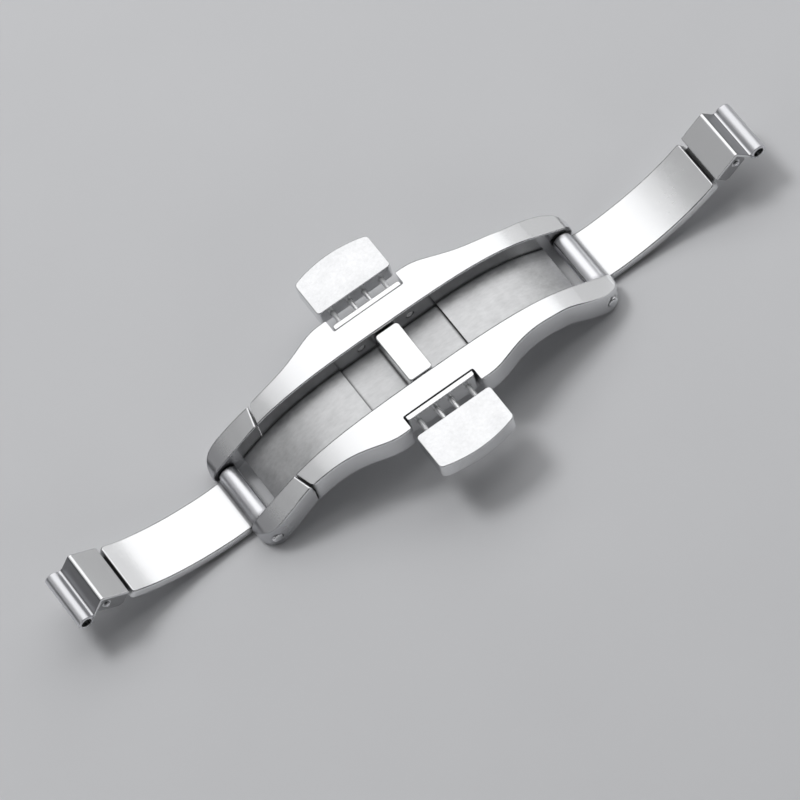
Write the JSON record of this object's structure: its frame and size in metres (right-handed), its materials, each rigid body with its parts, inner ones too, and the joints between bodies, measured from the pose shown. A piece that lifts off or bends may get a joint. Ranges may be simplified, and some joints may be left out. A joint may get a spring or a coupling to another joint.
{
  "type": "butterfly watch clasp",
  "caption": "Open push-button butterfly clasp for a watch strap: arched twin rails, pressed side buttons, folding end arms with sprung latch catches and spring-bar tubes.",
  "frame": {"origin": "middle of the footprint, at the height of the four rail tips that the open clasp stands on", "axes": "+X along the strap towards the plain rail ends, +Y across the strap, +Z away from the wrist"},
  "size_m": [0.0858, 0.028, 0.0082],
  "materials": {
    "rail_steel": "satin polished stainless steel, softened edges",
    "cheek_steel": "satin polished stainless steel",
    "floor_steel": "fine satin stainless steel sheet",
    "bar_steel": "polished stainless steel",
    "button_steel": "polished stainless steel, rounded edges",
    "pin_steel": "ground steel pins and rods",
    "spring_steel": "bare spring wire",
    "blade_steel": "satin polished stainless steel",
    "hook_steel": "satin folded stainless sheet"
  },
  "bodies": {
    "centre_frame": {"rail_far": "rail_steel", "rail_near": "rail_steel", "end_cheek_far": "cheek_steel", "end_cheek_near": "cheek_steel", "cheek_dowels": "pin_steel", "floor_plate_right": "floor_steel", "floor_plate_left": "floor_steel", "centre_floor": "floor_steel", "centre_bar": "bar_steel", "centre_bar_rivets": "pin_steel", "guide_plate_far": "bar_steel", "guide_plate_near": "bar_steel", "hinge_pin_right": "pin_steel", "hinge_pin_left": "pin_steel", "button_springs_far": "spring_steel", "button_springs_near": "spring_steel"},
    "button_far_body": {"button_far": "button_steel", "release_pins_far": "pin_steel", "guide_rods_far": "pin_steel"},
    "button_near_body": {"button_near": "button_steel", "release_pins_near": "pin_steel", "guide_rods_near": "pin_steel"},
    "arm_right_body": {"arm_blade_right": "blade_steel", "end_hook_right": "hook_steel", "latch_block_right": "hook_steel", "arm_rivets_right": "pin_steel", "latch_bushes_right": "pin_steel", "latch_spring_right": "spring_steel"},
    "arm_left_body": {"arm_blade_left": "blade_steel", "end_hook_left": "hook_steel", "latch_block_left": "hook_steel", "arm_rivets_left": "pin_steel", "latch_bushes_left": "pin_steel", "latch_spring_left": "spring_steel"},
    "latch_right_far_body": {"latch_pin_right_far": "pin_steel"},
    "latch_right_near_body": {"latch_pin_right_near": "pin_steel"},
    "latch_left_far_body": {"latch_pin_left_far": "pin_steel"},
    "latch_left_near_body": {"latch_pin_left_near": "pin_steel"}
  },
  "joints": [
    {"name": "arm_right_fold", "type": "hinge", "parent": "centre_frame", "child": "arm_right_body", "pos_m": [0.021, 0, 0.0016], "axis": [0, -1, 0], "range_deg": [0, 150.5]},
    {"name": "arm_left_fold", "type": "hinge", "parent": "centre_frame", "child": "arm_left_body", "pos_m": [-0.021, 0, 0.0016], "axis": [0, 1, 0], "range_deg": [0, 150.5]},
    {"name": "button_far_press", "type": "slide", "parent": "centre_frame", "child": "button_far_body", "axis": [0, -1, 0], "range_m": [-0.00035, 0.0004], "stiffness_N_per_m": 500, "deforming": ["button_springs_far"]},
    {"name": "button_near_press", "type": "slide", "parent": "centre_frame", "child": "button_near_body", "axis": [0, 1, 0], "range_m": [-0.00035, 0.0004], "stiffness_N_per_m": 500, "deforming": ["button_springs_near"]},
    {"name": "latch_right_far_slide", "type": "slide", "parent": "arm_right_body", "child": "latch_right_far_body", "axis": [0, -1, 0], "range_m": [-0.00045, 0.00028], "stiffness_N_per_m": 500, "deforming": ["latch_spring_right"]},
    {"name": "latch_right_near_slide", "type": "slide", "parent": "arm_right_body", "child": "latch_right_near_body", "axis": [0, 1, 0], "range_m": [-0.00045, 0.00028], "stiffness_N_per_m": 500, "deforming": ["latch_spring_right"]},
    {"name": "latch_left_far_slide", "type": "slide", "parent": "arm_left_body", "child": "latch_left_far_body", "axis": [0, -1, 0], "range_m": [-0.00045, 0.00028], "stiffness_N_per_m": 500, "deforming": ["latch_spring_left"]},
    {"name": "latch_left_near_slide", "type": "slide", "parent": "arm_left_body", "child": "latch_left_near_body", "axis": [0, 1, 0], "range_m": [-0.00045, 0.00028], "stiffness_N_per_m": 500, "deforming": ["latch_spring_left"]}
  ]
}
